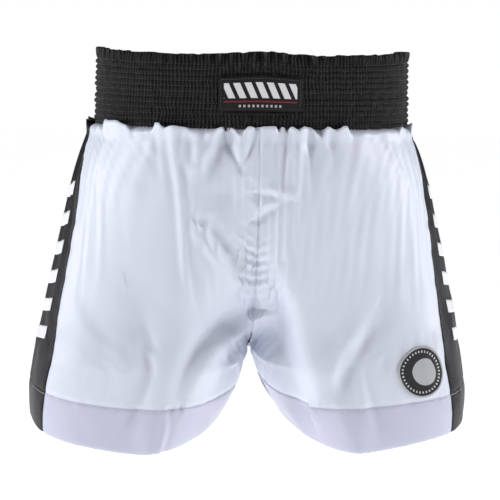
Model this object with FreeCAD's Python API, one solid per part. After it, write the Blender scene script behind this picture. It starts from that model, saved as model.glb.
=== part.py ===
import FreeCAD, Part
import math
import os

# Boxing shorts, hanging as if worn, in millimetres.
# +X is the wearer's left, -Y is the front and +Z is up.
# The origin is the centre of the waist opening, in the plane of the top rim.
# The garment is two mirrored halves. A turn value of 0 is the front centre, 0.5 is the side and 1 is
# the back centre. Below the crotch, turns 0 and 1 meet at the inseam, so that each half becomes a leg.

# Outline of the body and legs
BAND_HEIGHT = 75.0
RIM_HALF_WIDTH = 154.5
BAND_FOOT_HALF_WIDTH = 158.0
BAND_HALF_DEPTH = 105.0
PANEL_TOP_HALF_WIDTH = 160.0
PANEL_TOP_HALF_DEPTH = 106.0
CROTCH_Z = -299.0
HEM_Z = -373.0
HEM_HALF_WIDTH = 218.0
HEM_HALF_DEPTH = 103.0
LEG_GAP_SLOPE = 0.35
GATHER_PUFF = 11.0
GATHER_FALL = 20.0
SEAT_FULLNESS = 8.0
CROTCH_SHARPNESS = 4.5
WAIST_SPREAD = -0.10
SEAT_SPREAD = 0.25
SPREAD_REACH = 0.20
LEG_SPREAD = 0.045
HEM_SQUARENESS = 2.7

# Cloth, seams and hem
CLOTH = 1.0
TURNED_CLOTH = 2.1
HEM_DEPTH = 43.0
SEAM_GAP = 0.2
SEAM_GAP_TURN = 0.0005
SIDE_PANEL_FRONT = 0.413
SIDE_PANEL_BACK = 0.587
HIP_RISE = 91.0
PIECE_GAP = 0.15
OVERLOCK_TURN = 0.01
OVERLOCK_THICKNESS = 0.6
THREAD = 0.4
HEM_THREAD_HEIGHT = 1.2

# Waistband: a folded cover over one wide elastic, held by rows of shirring
COVER_WALL = 1.0
BAND_THICKNESS = 3.8
HEADER_HEIGHT = 10.0
SHIRR_ROWS = 12
SHIRR_PITCH = 5.4
SHIRR_HEIGHT = 0.9

# Front label
LABEL_WIDTH = 79.0
LABEL_HEIGHT = 32.5
LABEL_TOP_Z = -23.0
LABEL_THICKNESS = 0.8
LABEL_THREAD_INSET = 2.5
LABEL_THREAD_WIDTH = 1.2

# Round badge beside the side panel, and the blocks printed on the side panels
BADGE_DIAMETER = 52.0
BADGE_Z = -301.0
BADGE_TURN = 0.3655
BADGE_THICKNESS = 0.8
BLOCKS_PER_SIDE = 6
SEAT_BLOCKS = 3
BLOCK_TOP_Z = -127.0
BLOCK_PITCH = 28.0
BLOCK_HEIGHT = 22.0
BLOCK_HALF_TURN = 0.055
PRINT_THICKNESS = 0.3

# How finely the curved sheets are drawn
STEPS_ACROSS = 22
STEPS_DOWN = 16
SEW_TOLERANCE = 0.01

HEM_TOP_Z = HEM_Z + HEM_DEPTH
FULL_DROP = -BAND_HEIGHT - HEM_Z
CROTCH_DROP = -BAND_HEIGHT - CROTCH_Z

os.makedirs("parts", exist_ok=True)


def save(name, shape):
    """Writes one sub-part and says how large and sound it is."""
    shape.exportStep("parts/" + name + ".step")
    state = "valid" if shape.isValid() and len(shape.Solids) == 1 else "CHECK"
    print(name, round(shape.Volume / 1000.0, 3), "cm3", state)


def mirrored(shape):
    return shape.mirror(FreeCAD.Vector(0, 0, 0), FreeCAD.Vector(1, 0, 0))


# Outline formula

def half_width(z):
    drop = -BAND_HEIGHT - z
    share = drop / FULL_DROP
    puff = GATHER_PUFF * (1.0 - math.exp(-drop / GATHER_FALL))
    flare = HEM_HALF_WIDTH - PANEL_TOP_HALF_WIDTH - GATHER_PUFF
    return PANEL_TOP_HALF_WIDTH + puff + flare * (0.5 * share + 0.5 * math.sin(share * math.pi / 2))


def half_depth(z):
    drop = -BAND_HEIGHT - z
    share = drop / FULL_DROP
    puff = GATHER_PUFF * (1.0 - math.exp(-drop / GATHER_FALL))
    return PANEL_TOP_HALF_DEPTH + puff + (HEM_HALF_DEPTH - PANEL_TOP_HALF_DEPTH - GATHER_PUFF) * share


def spread(turn, amount):
    """Moves the edges of the side panel away from the side by amount, and leaves turns 0, 0.5 and 1."""
    edge = 2.0 * SIDE_PANEL_FRONT
    place = 2.0 * min(turn, 1.0 - turn)
    moved = place - amount * place ** 2 * (1.0 - place) / (edge ** 2 * (1.0 - edge))
    return moved / 2.0 if turn < 0.5 else 1.0 - moved / 2.0


def outline(turn, z, inset):
    """A point on the wearer's left half, moved towards the inside of the cloth by inset."""
    share = (-BAND_HEIGHT - z) / FULL_DROP
    into_leg = min(1.0, (-BAND_HEIGHT - z) / CROTCH_DROP) ** CROTCH_SHARPNESS
    power = 2.0 + (HEM_SQUARENESS - 2.0) * share
    outer = half_width(z) - inset
    depth = half_depth(z) - inset

    seat_spread = WAIST_SPREAD + SEAT_SPREAD * (1.0 - math.exp(-share / SPREAD_REACH))
    around_body = math.pi * spread(turn, seat_spread)
    sine = math.sin(around_body)
    cosine = math.cos(around_body)
    reach = (abs(sine) ** power + abs(cosine) ** power) ** (-1.0 / power)
    body_x = outer * reach * sine
    body_y = -depth * reach * cosine

    inner = SEAM_GAP + max(0.0, LEG_GAP_SLOPE * (CROTCH_Z - z)) + inset
    around_leg = 2.0 * math.pi * spread(turn, LEG_SPREAD)
    leg_sine = math.sin(around_leg)
    leg_cosine = math.cos(around_leg)
    leg_reach = (abs(leg_sine) ** power + abs(leg_cosine) ** power) ** (-1.0 / power)
    leg_x = (outer + inner) / 2 - (outer - inner) / 2 * leg_reach * leg_cosine
    leg_y = -depth * leg_reach * leg_sine

    x = (1.0 - into_leg) * body_x + into_leg * leg_x
    y = (1.0 - into_leg) * body_y + into_leg * leg_y
    y += SEAT_FULLNESS * math.sin(math.pi * share) ** 2 * max(0.0, -cosine) ** 2 * (1.0 - into_leg)
    return FreeCAD.Vector(x, y, z)


def level(z):
    """A height line that stays at one height."""
    return lambda turn: z


def hip_line(shift):
    """The crease from the crotch up over the hip, where a leg swings from the seat."""
    return lambda turn: CROTCH_Z + HIP_RISE * math.sin(math.pi * turn) ** 2 + shift


# Sheets that follow the outline

def curve_through(points):
    """A smooth curve with evenly spaced parameters, so that equal points always give equal curves."""
    curve = Part.BSplineCurve()
    last = len(points) - 1
    curve.interpolate(Points=points, Parameters=[i / last for i in range(last + 1)])
    return curve


def sheet_surface(start, end, top, foot, inset):
    """A smooth surface through a grid of outline points, whose edges depend only on the points on them."""
    across = []
    for j in range(STEPS_DOWN + 1):
        points = []
        for i in range(STEPS_ACROSS + 1):
            turn = start + (end - start) * i / STEPS_ACROSS
            z = top(turn) + (foot(turn) - top(turn)) * j / STEPS_DOWN
            points.append(outline(turn, z, inset))
        across.append(curve_through(points))
    poles_across = zip(*[curve.getPoles() for curve in across])
    down = [curve_through(list(column)) for column in poles_across]
    surface = Part.BSplineSurface()
    surface.buildFromPolesMultsKnots(
        [curve.getPoles() for curve in down],
        across[0].getMultiplicities(),
        down[0].getMultiplicities(),
        across[0].getKnots(),
        down[0].getKnots(),
        False,
        False,
        3,
        3,
    )
    return surface


def cell(start, end, top, foot, outer_inset, inner_inset):
    """The six faces of one stretch of sheet, by name."""
    outer = sheet_surface(start, end, top, foot, outer_inset)
    inner = sheet_surface(start, end, top, foot, inner_inset)
    u_low, u_high, v_low, v_high = outer.bounds()
    s_low, s_high, t_low, t_high = inner.bounds()

    def strip(outer_curve, inner_curve):
        return Part.makeRuledSurface(outer_curve.toShape(), inner_curve.toShape())

    return {
        "outer": outer.toShape(),
        "inner": inner.toShape(),
        "start": strip(outer.uIso(u_low), inner.uIso(s_low)),
        "end": strip(outer.uIso(u_high), inner.uIso(s_high)),
        "top": strip(outer.vIso(v_low), inner.vIso(t_low)),
        "foot": strip(outer.vIso(v_high), inner.vIso(t_high)),
    }


def sewn(faces):
    joined = Part.Compound(faces)
    joined.sewShape(SEW_TOLERANCE)
    solid = Part.Solid(joined.Shells[0])
    if solid.Volume < 0:
        solid.reverse()
    return solid


def sheet(start, end, top, foot, outer_inset, inner_inset):
    return sewn(list(cell(start, end, top, foot, outer_inset, inner_inset).values()))


def hemmed_sheet(start, end, top):
    """A leg panel whose foot is turned up inside, so that the hem has two layers."""
    above = cell(start, end, top, level(HEM_TOP_Z), 0.0, CLOTH)
    hem = cell(start, end, level(HEM_TOP_Z), level(HEM_Z), 0.0, CLOTH)
    turned = cell(start, end, level(HEM_TOP_Z), level(HEM_Z), CLOTH, TURNED_CLOTH)
    faces = [above[name] for name in ("outer", "inner", "start", "end", "top")]
    faces += [hem[name] for name in ("outer", "start", "end", "foot")]
    faces += [turned[name] for name in ("inner", "start", "end", "top", "foot")]
    return sewn(faces)


# Rings that follow the waistband

def oval_block(top_z, foot_z, inset):
    wires = []
    for z in (top_z, foot_z):
        width = RIM_HALF_WIDTH - (BAND_FOOT_HALF_WIDTH - RIM_HALF_WIDTH) * z / BAND_HEIGHT
        oval = Part.Ellipse(FreeCAD.Vector(0, 0, z), width - inset, BAND_HALF_DEPTH - inset)
        wires.append(Part.Wire([oval.toShape()]))
    return Part.makeLoft(wires, True, True)


def ring(top_z, foot_z, outer_inset, inner_inset):
    core = oval_block(top_z + 1.0, foot_z - 1.0, inner_inset)
    return oval_block(top_z, foot_z, outer_inset).cut(core)


# Waistband

def waistband_cover():
    """One strip of satin folded over the elastic, open at the foot where the panels join it."""
    cover = ring(0.0, -BAND_HEIGHT, 0.0, BAND_THICKNESS)
    pocket = ring(-COVER_WALL, -BAND_HEIGHT - 1.0, COVER_WALL, BAND_THICKNESS - COVER_WALL)
    return cover.cut(pocket)


def waistband_elastic():
    gap = COVER_WALL + PIECE_GAP
    return ring(-HEADER_HEIGHT, -BAND_HEIGHT + 2.0, gap, BAND_THICKNESS - gap)


def shirring_row(index):
    """One row of stitching around the outside of the band."""
    top_z = -HEADER_HEIGHT - index * SHIRR_PITCH
    return ring(top_z, top_z - SHIRR_HEIGHT, -PIECE_GAP - THREAD, -PIECE_GAP)


def waist_seam_overlock():
    """The stitched edge inside, just under the band, where the panels are joined to it."""
    inner = PIECE_GAP + OVERLOCK_THICKNESS
    return ring(-BAND_HEIGHT + 8.0, -BAND_HEIGHT + 1.0, BAND_THICKNESS + PIECE_GAP, BAND_THICKNESS + inner)


save("waistband_cover", waistband_cover())
save("waistband_elastic", waistband_elastic())
for row in range(SHIRR_ROWS):
    save("waistband_shirring_%02d" % (row + 1), shirring_row(row))
save("waist_seam_overlock", waist_seam_overlock())


# Front label, standing just outside the shirring

def front_frame(width, height, top_z):
    """A box that cuts a stretch of the given width out of the front of a ring."""
    corner = FreeCAD.Vector(-width / 2, -2.0 * BAND_HALF_DEPTH, top_z - height)
    return Part.makeBox(width, 2.0 * BAND_HALF_DEPTH, height, corner)


def front_label():
    inset = -2 * PIECE_GAP - THREAD
    band = ring(LABEL_TOP_Z, LABEL_TOP_Z - LABEL_HEIGHT, inset - LABEL_THICKNESS, inset)
    return band.common(front_frame(LABEL_WIDTH, LABEL_HEIGHT, LABEL_TOP_Z))


def front_label_stitching():
    """A line of thread round the label, just inside its edge."""
    inset = -3 * PIECE_GAP - THREAD - LABEL_THICKNESS
    band = ring(LABEL_TOP_Z, LABEL_TOP_Z - LABEL_HEIGHT, inset - THREAD, inset)
    edge = LABEL_THREAD_INSET
    outer = front_frame(LABEL_WIDTH - 2 * edge, LABEL_HEIGHT - 2 * edge, LABEL_TOP_Z - edge)
    edge += LABEL_THREAD_WIDTH
    hole = front_frame(LABEL_WIDTH - 2 * edge, LABEL_HEIGHT - 2 * edge, LABEL_TOP_Z - edge)
    return band.common(outer).cut(hole)


save("front_label", front_label())
save("front_label_stitching", front_label_stitching())


# Panels: each one is made as a part above the hip crease and a part below it

def save_pair(name, shape):
    save("left_" + name, shape)
    save("right_" + name, mirrored(shape))


PANELS = {
    "front": (SEAM_GAP_TURN, SIDE_PANEL_FRONT - SEAM_GAP_TURN),
    "side": (SIDE_PANEL_FRONT, SIDE_PANEL_BACK),
    "back": (SIDE_PANEL_BACK + SEAM_GAP_TURN, 1.0 - SEAM_GAP_TURN),
}
PANEL_TOP_Z = -BAND_HEIGHT - PIECE_GAP
for panel, (first, last) in PANELS.items():
    seat = sheet(first, last, level(PANEL_TOP_Z), hip_line(PIECE_GAP), 0.0, CLOTH)
    save_pair(panel + "_panel_seat", seat)
    save_pair(panel + "_panel_leg", hemmed_sheet(first, last, hip_line(-PIECE_GAP)))


# Overlocked seam allowances inside, each pressed to one side of its seam

def overlock(start, end, top, foot):
    outer_inset = CLOTH + PIECE_GAP
    return sheet(start, end, top, foot, outer_inset, outer_inset + OVERLOCK_THICKNESS)


SIDE_SEAMS = {
    "front_side": (SIDE_PANEL_FRONT, SIDE_PANEL_FRONT + OVERLOCK_TURN),
    "back_side": (SIDE_PANEL_BACK - OVERLOCK_TURN, SIDE_PANEL_BACK),
}
for seam, (first, last) in SIDE_SEAMS.items():
    upper = overlock(first, last, level(PANEL_TOP_Z), hip_line(PIECE_GAP))
    lower = overlock(first, last, hip_line(-PIECE_GAP), level(HEM_TOP_Z + PIECE_GAP))
    save_pair(seam + "_overlock_seat", upper)
    save_pair(seam + "_overlock_leg", lower)

front_centre = overlock(SEAM_GAP_TURN, OVERLOCK_TURN, level(PANEL_TOP_Z), hip_line(PIECE_GAP))
back_centre = overlock(1.0 - OVERLOCK_TURN, 1.0 - SEAM_GAP_TURN, level(PANEL_TOP_Z), hip_line(PIECE_GAP))
inseam = overlock(SEAM_GAP_TURN, OVERLOCK_TURN, hip_line(-PIECE_GAP), level(HEM_TOP_Z + PIECE_GAP))
save("centre_front_overlock", front_centre)
save("centre_back_overlock", back_centre)
save_pair("inseam_overlock", inseam)


# Hem stitching, once round each leg opening

hem_thread_top = level(HEM_TOP_Z - 2.0)
hem_thread_foot = level(HEM_TOP_Z - 2.0 - HEM_THREAD_HEIGHT)
hem_halves = []
for first, last in ((SEAM_GAP_TURN, 0.5), (0.5, 1.0 - SEAM_GAP_TURN)):
    hem_halves.append(cell(first, last, hem_thread_top, hem_thread_foot, -PIECE_GAP - THREAD, -PIECE_GAP))
hem_faces = [face for name, face in hem_halves[0].items() if name != "end"]
hem_faces += [face for name, face in hem_halves[1].items() if name != "start"]
save_pair("hem_stitching", sewn(hem_faces))


# Printed blocks down each side panel

for index in range(BLOCKS_PER_SIDE):
    top_z = BLOCK_TOP_Z - index * BLOCK_PITCH
    body = "seat" if index < SEAT_BLOCKS else "leg"
    block = sheet(
        0.5 - BLOCK_HALF_TURN,
        0.5 + BLOCK_HALF_TURN,
        level(top_z),
        level(top_z - BLOCK_HEIGHT),
        -PIECE_GAP - PRINT_THICKNESS,
        -PIECE_GAP,
    )
    save_pair("side_block_%s_%d" % (body, index + 1), block)


# Round badge on the wearer's left leg, low on the front panel

def badge():
    half = BADGE_DIAMETER / 2 + 4.0
    centre = outline(BADGE_TURN, BADGE_Z, 0.0)
    along = outline(BADGE_TURN + SEAM_GAP_TURN, BADGE_Z, 0.0) - centre
    up = outline(BADGE_TURN, BADGE_Z + 1.0, 0.0) - centre
    outward = up.cross(along)
    outward.normalize()
    half_turn = half * SEAM_GAP_TURN / along.Length
    patch = sheet(
        BADGE_TURN - half_turn,
        BADGE_TURN + half_turn,
        level(BADGE_Z + half),
        level(BADGE_Z - half),
        -PIECE_GAP - BADGE_THICKNESS,
        -PIECE_GAP,
    )
    foot = centre - outward * half
    return patch.common(Part.makeCylinder(BADGE_DIAMETER / 2, 2 * half, foot, outward))


save("left_leg_badge", badge())
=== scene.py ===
import math

import bmesh
import bpy
import numpy as np
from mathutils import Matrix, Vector


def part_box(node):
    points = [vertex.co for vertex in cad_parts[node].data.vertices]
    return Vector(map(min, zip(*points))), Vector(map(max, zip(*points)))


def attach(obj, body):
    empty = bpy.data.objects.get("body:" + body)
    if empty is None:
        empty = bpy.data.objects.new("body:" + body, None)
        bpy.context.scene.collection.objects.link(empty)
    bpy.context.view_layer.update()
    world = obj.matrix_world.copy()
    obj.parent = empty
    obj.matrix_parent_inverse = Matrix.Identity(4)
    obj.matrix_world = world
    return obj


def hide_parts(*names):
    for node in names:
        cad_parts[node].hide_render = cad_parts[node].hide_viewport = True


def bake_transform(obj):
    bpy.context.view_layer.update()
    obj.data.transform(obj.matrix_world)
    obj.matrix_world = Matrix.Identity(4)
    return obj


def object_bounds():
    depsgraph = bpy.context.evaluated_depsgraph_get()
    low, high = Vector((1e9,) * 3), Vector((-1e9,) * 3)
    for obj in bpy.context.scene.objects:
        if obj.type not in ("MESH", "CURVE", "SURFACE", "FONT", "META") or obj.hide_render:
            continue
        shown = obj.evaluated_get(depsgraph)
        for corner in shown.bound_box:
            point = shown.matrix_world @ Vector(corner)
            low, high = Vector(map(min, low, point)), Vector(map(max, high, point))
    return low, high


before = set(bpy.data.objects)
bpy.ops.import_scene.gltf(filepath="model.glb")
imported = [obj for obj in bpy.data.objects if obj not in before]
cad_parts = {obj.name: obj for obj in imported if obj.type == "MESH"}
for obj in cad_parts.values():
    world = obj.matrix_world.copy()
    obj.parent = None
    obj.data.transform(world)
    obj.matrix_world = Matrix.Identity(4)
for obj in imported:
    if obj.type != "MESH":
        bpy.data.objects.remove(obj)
cad_low, cad_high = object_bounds()

# Studio: the shorts hang in the air as if worn, over a pale floor far below, in soft light from lamps
# above the front, at both sides and behind. The camera stands at rim height, a little to the wearer's right.

CAMERA_DISTANCE = 1.38
CAMERA_TURN = math.radians(-4.2)
CAMERA_LIFT = math.radians(8.3)
CAMERA_ROLL = math.radians(0.9)
FRAME_WIDTH = 0.5
SENSOR_WIDTH = 36.0
FLOOR_DROP = 0.55
FLOOR_RADIUS = 14.0
AIM_BELOW_MIDDLE = 0.012
AMBIENT_LIGHT = 0.08


def math_node(operation):
    """A method that adds a Math node for one operation."""

    def method(self, other=0.0):
        return self.finish.add("ShaderNodeMath", {"operation": operation}, {0: self, 1: other})

    return method


class Value:
    """A socket of a finish's nodes; arithmetic on it adds Math nodes."""

    def __init__(self, finish, socket):
        self.finish = finish
        self.socket = socket

    __add__ = __radd__ = math_node("ADD")
    __sub__ = math_node("SUBTRACT")
    __mul__ = math_node("MULTIPLY")
    __truediv__ = math_node("DIVIDE")
    __pow__ = math_node("POWER")
    __lt__ = math_node("LESS_THAN")
    __gt__ = math_node("GREATER_THAN")
    sine = math_node("SINE")
    fraction = math_node("FRACT")
    arctangent = math_node("ARCTAN2")

    def wave(self, pitch):
        """A sine wave that repeats once in each pitch."""
        return (self * (2 * math.pi / pitch)).sine()

    def parts(self):
        """The three parts of a vector."""
        node = self.finish.node("ShaderNodeSeparateXYZ", {}, {"Vector": self})
        return [Value(self.finish, output) for output in node.outputs]


class Finish:
    """A material, with short calls for the nodes behind its surface."""

    def __init__(self, name, **surface):
        self.material = bpy.data.materials.new(name)
        self.material.use_nodes = True
        self.nodes = self.material.node_tree.nodes
        self.links = self.material.node_tree.links
        self.surface = self.nodes["Principled BSDF"]
        self.set({name.replace("_", " ").title(): value for name, value in surface.items()})

    def join(self, socket, value):
        if isinstance(value, Value):
            self.links.new(value.socket, socket)
        else:
            socket.default_value = value

    def set(self, sockets):
        for name, value in sockets.items():
            self.join(self.surface.inputs[name], value)

    def node(self, kind, settings, sockets):
        made = self.nodes.new(kind)
        for name, value in settings.items():
            setattr(made, name, value)
        for name, value in sockets.items():
            self.join(made.inputs[name], value)
        return made

    def add(self, kind, settings={}, sockets={}, output=0):
        return Value(self, self.node(kind, settings, sockets).outputs[output])

    def place(self):
        """Where a point of the surface is, in metres."""
        return self.add("ShaderNodeTexCoord", output="Object")

    def cloth_place(self):
        """Metres along and down the cloth, from the mesh's own map."""
        return self.add("ShaderNodeUVMap", {"uv_map": "Cloth"})

    def noise(self, place, scale):
        return self.add("ShaderNodeTexNoise", {}, {"Vector": place, "Scale": scale, "Detail": 3.0})

    def colour_mix(self, share, first, second):
        """The first colour where share is 0, and the second where it is 1."""
        first, second = (mixed if isinstance(mixed, Value) else (*mixed, 1.0) for mixed in (first, second))
        return self.add("ShaderNodeMix", {"data_type": "RGBA"}, {0: share, 6: first, 7: second}, output=2)

    def bump(self, height, strength, distance):
        return self.add("ShaderNodeBump", {}, {"Height": height, "Strength": strength, "Distance": distance})


middle = (cad_low + cad_high) / 2
aim = Vector((0.0, 0.0, middle.z - AIM_BELOW_MIDDLE))
outward = Vector((
    math.sin(CAMERA_TURN) * math.cos(CAMERA_LIFT),
    -math.cos(CAMERA_TURN) * math.cos(CAMERA_LIFT),
    math.sin(CAMERA_LIFT),
))
camera = bpy.data.objects.new("studio_camera", bpy.data.cameras.new("studio_camera"))
camera.data.sensor_width = SENSOR_WIDTH
camera.data.lens = SENSOR_WIDTH * CAMERA_DISTANCE / FRAME_WIDTH
camera.location = aim + outward * CAMERA_DISTANCE
camera.rotation_euler = outward.to_track_quat("Z", "Y").to_euler()
camera.rotation_euler.rotate_axis("Z", CAMERA_ROLL)
bpy.context.collection.objects.link(camera)
bpy.context.scene.camera = camera

floor_finish = Finish("studio_floor", roughness=0.9)
floor_finish.set({"Base Color": (0.93, 0.93, 0.94, 1.0), "Emission Color": (1.0, 1.0, 1.0, 1.0)})
floor_finish.set({"Emission Strength": 0.92})
floor_sheet = bmesh.new()
bmesh.ops.create_circle(floor_sheet, cap_ends=True, segments=96, radius=FLOOR_RADIUS)
floor_mesh = bpy.data.meshes.new("studio_floor")
floor_sheet.to_mesh(floor_mesh)
floor_sheet.free()
floor_mesh.materials.append(floor_finish.material)
studio_floor = bpy.data.objects.new("studio_floor", floor_mesh)
studio_floor.location.z = cad_low.z - FLOOR_DROP
bpy.context.collection.objects.link(studio_floor)

for name, place, size, power in (
    ("lamp_above_front", (-0.3, -0.9, 1.9), 0.8, 3.0),
    ("lamp_right", (2.0, -0.4, 0.8), 0.7, 29.0),
    ("lamp_left", (-2.0, -0.4, 0.8), 0.7, 30.0),
    ("lamp_back", (0.3, 1.9, 1.2), 1.4, 7.0),
):
    lamp = bpy.data.objects.new(name, bpy.data.lights.new(name, "AREA"))
    lamp.data.size = size
    lamp.data.energy = power
    lamp.location = Vector(place) + aim
    lamp.rotation_euler = Vector(place).to_track_quat("Z", "Y").to_euler()
    bpy.context.collection.objects.link(lamp)

world = bpy.data.worlds.new("studio_air")
world.use_nodes = True
air = world.node_tree
seen = air.nodes.new("ShaderNodeLightPath")
strength = air.nodes.new("ShaderNodeMapRange")
strength.inputs["To Min"].default_value = AMBIENT_LIGHT
strength.inputs["To Max"].default_value = 1.0
air.links.new(seen.outputs["Is Camera Ray"], strength.inputs["Value"])
air.links.new(strength.outputs[0], air.nodes["Background"].inputs["Strength"])
air.nodes["Background"].inputs["Color"].default_value = (1.0, 1.0, 1.0, 1.0)
bpy.context.scene.world = world
bpy.context.scene.view_settings.view_transform = "Standard"

# Body of the shorts: six satin panels, cut wider than the waist and gathered into the band. They are
# draped here as one cloth, and parted into panels after it. The drape starts from the worn outline,
# with the folds that the gathers and the crotch pull into it, and is then settled as loose cloth.
# A turn of 0 is the front centre or the front of the inseam, 0.5 is the side and 1 is the back.

band_low, band_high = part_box("waistband_cover")
seat_low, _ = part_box("left_front_panel_seat")
WAIST_Z = band_low.z
WAIST_HALF_WIDTH = band_high.x
WAIST_HALF_DEPTH = band_high.y
CROTCH_DROP = WAIST_Z - seat_low.z
FULL_DROP = WAIST_Z - cad_low.z
HEM_HALF_WIDTH = cad_high.x
HEM_HALF_DEPTH = 0.101
HEM_DEPTH = 0.043
HEM_RISE = 0.020
HEM_DIP = 0.006
LEFT_TWIST = 0.035
GATHER_PUFF = 0.011
GATHER_FALL = 0.02
LEG_GAP_SLOPE = 0.35
WAIST_SPREAD = -0.10
SEAT_SPREAD = 0.25
SPREAD_REACH = 0.20
LEG_SPREAD = 0.045
SEAT_FULLNESS = 0.008
LENS_WIDENING = 0.018
SIDE_PANEL_FRONT = 0.413
SIDE_PANEL_BACK = 0.587
FRONT_COLUMNS = 152
SIDE_COLUMNS = 60
CROTCH_ROW = 136
LEG_ROWS = 44
ROWS = CROTCH_ROW + LEG_ROWS
COARSE = 4
SEAM_CROWDING = 0.45


def waviness(seed, along, down=0.0):
    """Smooth random heights from -1 to 1, with bumps about one unit apart."""
    along, down = np.broadcast_arrays(np.asarray(along, float), np.asarray(down, float))
    column, row = np.floor(along), np.floor(down)
    across, below = along - column, down - row
    across = across * across * (3 - 2 * across)
    below = below * below * (3 - 2 * below)

    def corner(i, j):
        jumble = np.sin((column + i) * 127.1 + (row + j) * 311.7 + seed * 74.7) * 43758.5453
        return 2 * (jumble - np.floor(jumble)) - 1

    upper = corner(0, 0) * (1 - across) + corner(1, 0) * across
    lower = corner(0, 1) * (1 - across) + corner(1, 1) * across
    return upper * (1 - below) + lower * below


def spread(turn, amount):
    """Moves the edges of the side panel away from the side by amount, and leaves turns 0, 0.5 and 1."""
    edge = 2 * SIDE_PANEL_FRONT
    place = 2 * np.minimum(turn, 1 - turn)
    moved = place - amount * place**2 * (1 - place) / (edge**2 * (1 - edge))
    return np.where(turn < 0.5, moved / 2, 1 - moved / 2)


def worn_outline(turn, drop, twist):
    """Points on the wearer's left half of the worn shape, without folds."""
    share = drop / FULL_DROP
    into_leg = np.sin(np.pi / 2 * np.minimum(1.0, drop / CROTCH_DROP) ** 6)
    power = 2.0 + 0.8 * share
    puff = GATHER_PUFF * (1.0 - np.exp(-drop / GATHER_FALL))
    flare = HEM_HALF_WIDTH - WAIST_HALF_WIDTH - GATHER_PUFF
    outer = WAIST_HALF_WIDTH + puff + flare * (0.5 * share + 0.5 * np.sin(share * np.pi / 2))
    outer = outer * (1.0 + LENS_WIDENING * (2.0 * share - 1.0))
    depth = WAIST_HALF_DEPTH + puff + (HEM_HALF_DEPTH - WAIST_HALF_DEPTH - GATHER_PUFF) * share
    inner = np.maximum(0.0, LEG_GAP_SLOPE * (drop - CROTCH_DROP))

    def rounded(angle):
        sine, cosine = np.sin(angle), np.cos(angle)
        reach = (np.abs(sine) ** power + np.abs(cosine) ** power) ** (-1.0 / power)
        return reach * sine, reach * cosine

    seat_spread = WAIST_SPREAD + SEAT_SPREAD * (1 - np.exp(-share / SPREAD_REACH))
    sine, cosine = rounded(np.pi * spread(turn, seat_spread + twist))
    leg_sine, leg_cosine = rounded(2 * np.pi * spread(turn, LEG_SPREAD + twist))
    leg_x = (outer + inner) / 2 - (outer - inner) / 2 * leg_cosine
    x = (1 - into_leg) * outer * sine + into_leg * leg_x
    y = -(1 - into_leg) * depth * cosine - into_leg * depth * leg_sine
    y += SEAT_FULLNESS * np.sin(np.pi * share) ** 2 * np.maximum(0.0, -cosine) ** 2 * (1 - into_leg)
    low_down = np.clip((share - 0.5) / 0.5, 0.0, 1.0) ** 1.5
    hem_rise = low_down * (HEM_RISE * np.cos(2 * np.pi * turn) ** 2 - HEM_DIP)
    return np.stack([x, y, WAIST_Z - drop + hem_rise], axis=-1)


def crowded(start, end, count):
    """Steps from start to end that lie closer together near both."""
    even = np.linspace(0.0, 1.0, count + 1)
    return start + (end - start) * (even - SEAM_CROWDING * np.sin(2 * np.pi * even) / (2 * np.pi))


turns = np.concatenate([
    crowded(0.0, SIDE_PANEL_FRONT, FRONT_COLUMNS)[:-1],
    crowded(SIDE_PANEL_FRONT, SIDE_PANEL_BACK, SIDE_COLUMNS)[:-1],
    crowded(SIDE_PANEL_BACK, 1.0, FRONT_COLUMNS),
])
drops = np.concatenate([
    np.linspace(0.0, CROTCH_DROP, CROTCH_ROW + 1)[:-1],
    np.linspace(CROTCH_DROP, FULL_DROP, LEG_ROWS + 1),
])
turn_grid, drop_grid = np.meshgrid(turns, drops, indexing="ij")
worn = np.stack([
    worn_outline(turn_grid, drop_grid, LEFT_TWIST),
    worn_outline(turn_grid, drop_grid, 0.0) * [-1.0, 1.0, 1.0],
])


def welding(columns, rows, crotch_row):
    """For each grid point, the vertex it shares across the centre seams, the inseams and the crotch."""
    index = np.arange(2 * columns * rows).reshape(2, columns, rows)
    index[1, 0, : crotch_row + 1] = index[0, 0, : crotch_row + 1]
    index[1, -1, : crotch_row + 1] = index[0, -1, : crotch_row + 1]
    index[:, -1, crotch_row:] = index[:, 0, crotch_row:]
    unique, shared = np.unique(index, return_inverse=True)
    return len(unique), shared.reshape(index.shape)


def welded_mesh(name, grid, crotch_row):
    """One mesh of the whole cloth, facing outwards."""
    count, shared = welding(grid.shape[1], grid.shape[2], crotch_row)
    points = np.zeros((count, 3))
    points[shared.ravel()] = grid.reshape(-1, 3)
    corners = np.stack([shared[:, :-1, :-1], shared[:, :-1, 1:], shared[:, 1:, 1:], shared[:, 1:, :-1]], -1)
    corners[1] = corners[1, ..., ::-1]
    mesh = bpy.data.meshes.new(name)
    mesh.from_pydata(points.tolist(), [], corners.reshape(-1, 4).tolist())
    mesh.update()
    return mesh, shared


def normals_of(grid):
    """The outward direction at each grid point."""
    mesh, shared = welded_mesh("measuring", grid, CROTCH_ROW)
    found = np.empty(len(mesh.vertices) * 3)
    mesh.vertex_normals.foreach_get("vector", found)
    bpy.data.meshes.remove(mesh)
    return found.reshape(-1, 3)[shared]


def arc_along(grid):
    """Metres along the cloth from the front centre, for each grid point."""
    steps = np.linalg.norm(np.diff(grid, axis=1), axis=-1)
    zero = np.zeros_like(steps[:, :1])
    return np.concatenate([zero, np.cumsum(steps, axis=1)], axis=1)


def gathers(along, drop, seed):
    """Heights of the folds that fall from the gathered edge: many short ones and a few long ones."""
    height = np.zeros_like(along)
    for pitch, size, reach in ((0.008, 0.0012, 0.012), (0.016, 0.0022, 0.03), (0.034, 0.0028, 0.075)):
        sway = 0.6 * waviness(seed + 3, along / 0.05, drop / 0.09)
        pattern = waviness(seed, along / pitch + sway, drop / 0.3)
        length = reach * (1.0 + 0.6 * waviness(seed + 7, along / (2.2 * pitch)))
        height += size * pattern * np.exp(-drop / length)
        seed += 11
    return height


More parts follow.
